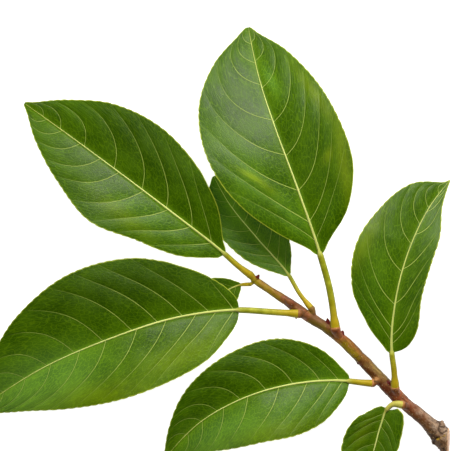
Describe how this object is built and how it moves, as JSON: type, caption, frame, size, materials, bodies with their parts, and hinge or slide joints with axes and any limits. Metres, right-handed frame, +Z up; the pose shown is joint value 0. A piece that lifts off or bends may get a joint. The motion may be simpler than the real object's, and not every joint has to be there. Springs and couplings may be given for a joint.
{
  "type": "leafy tree branch",
  "caption": "Freshly picked leafy branch lying flat: a slender woody twig with long-stalked oval evergreen leaves, pale midribs and curved side veins.",
  "frame": {"origin": "on the table, under the middle of the branch's outline seen from above", "axes": "+Z up from the table; the twig's cut knob lies towards +X -Y, the largest upper leaf points to +Y and the left-hand leaf's tip to -X"},
  "size_m": [0.2396, 0.2366, 0.035],
  "materials": {
    "bark": "matte bark, olive between the nodes and red-brown at them, pale where cut",
    "leaf_stalk": "satin yellow-green petiole and midrib",
    "leaf_blade": "leathery, slightly glossy dark green, paler underneath"
  },
  "bodies": {
    "root": {"twig": "bark", "leaf_a_stalk": "leaf_stalk", "leaf_a_blade": "leaf_blade", "leaf_b_stalk": "leaf_stalk", "leaf_b_blade": "leaf_blade", "leaf_c_stalk": "leaf_stalk", "leaf_c_blade": "leaf_blade", "leaf_d_stalk": "leaf_stalk", "leaf_d_blade": "leaf_blade", "leaf_e_stalk": "leaf_stalk", "leaf_e_blade": "leaf_blade", "leaf_f_stalk": "leaf_stalk", "leaf_f_blade": "leaf_blade", "leaf_g_stalk": "leaf_stalk", "leaf_g_blade": "leaf_blade", "leaf_h_stalk": "leaf_stalk", "leaf_h_blade": "leaf_blade"}
  },
  "joints": []
}
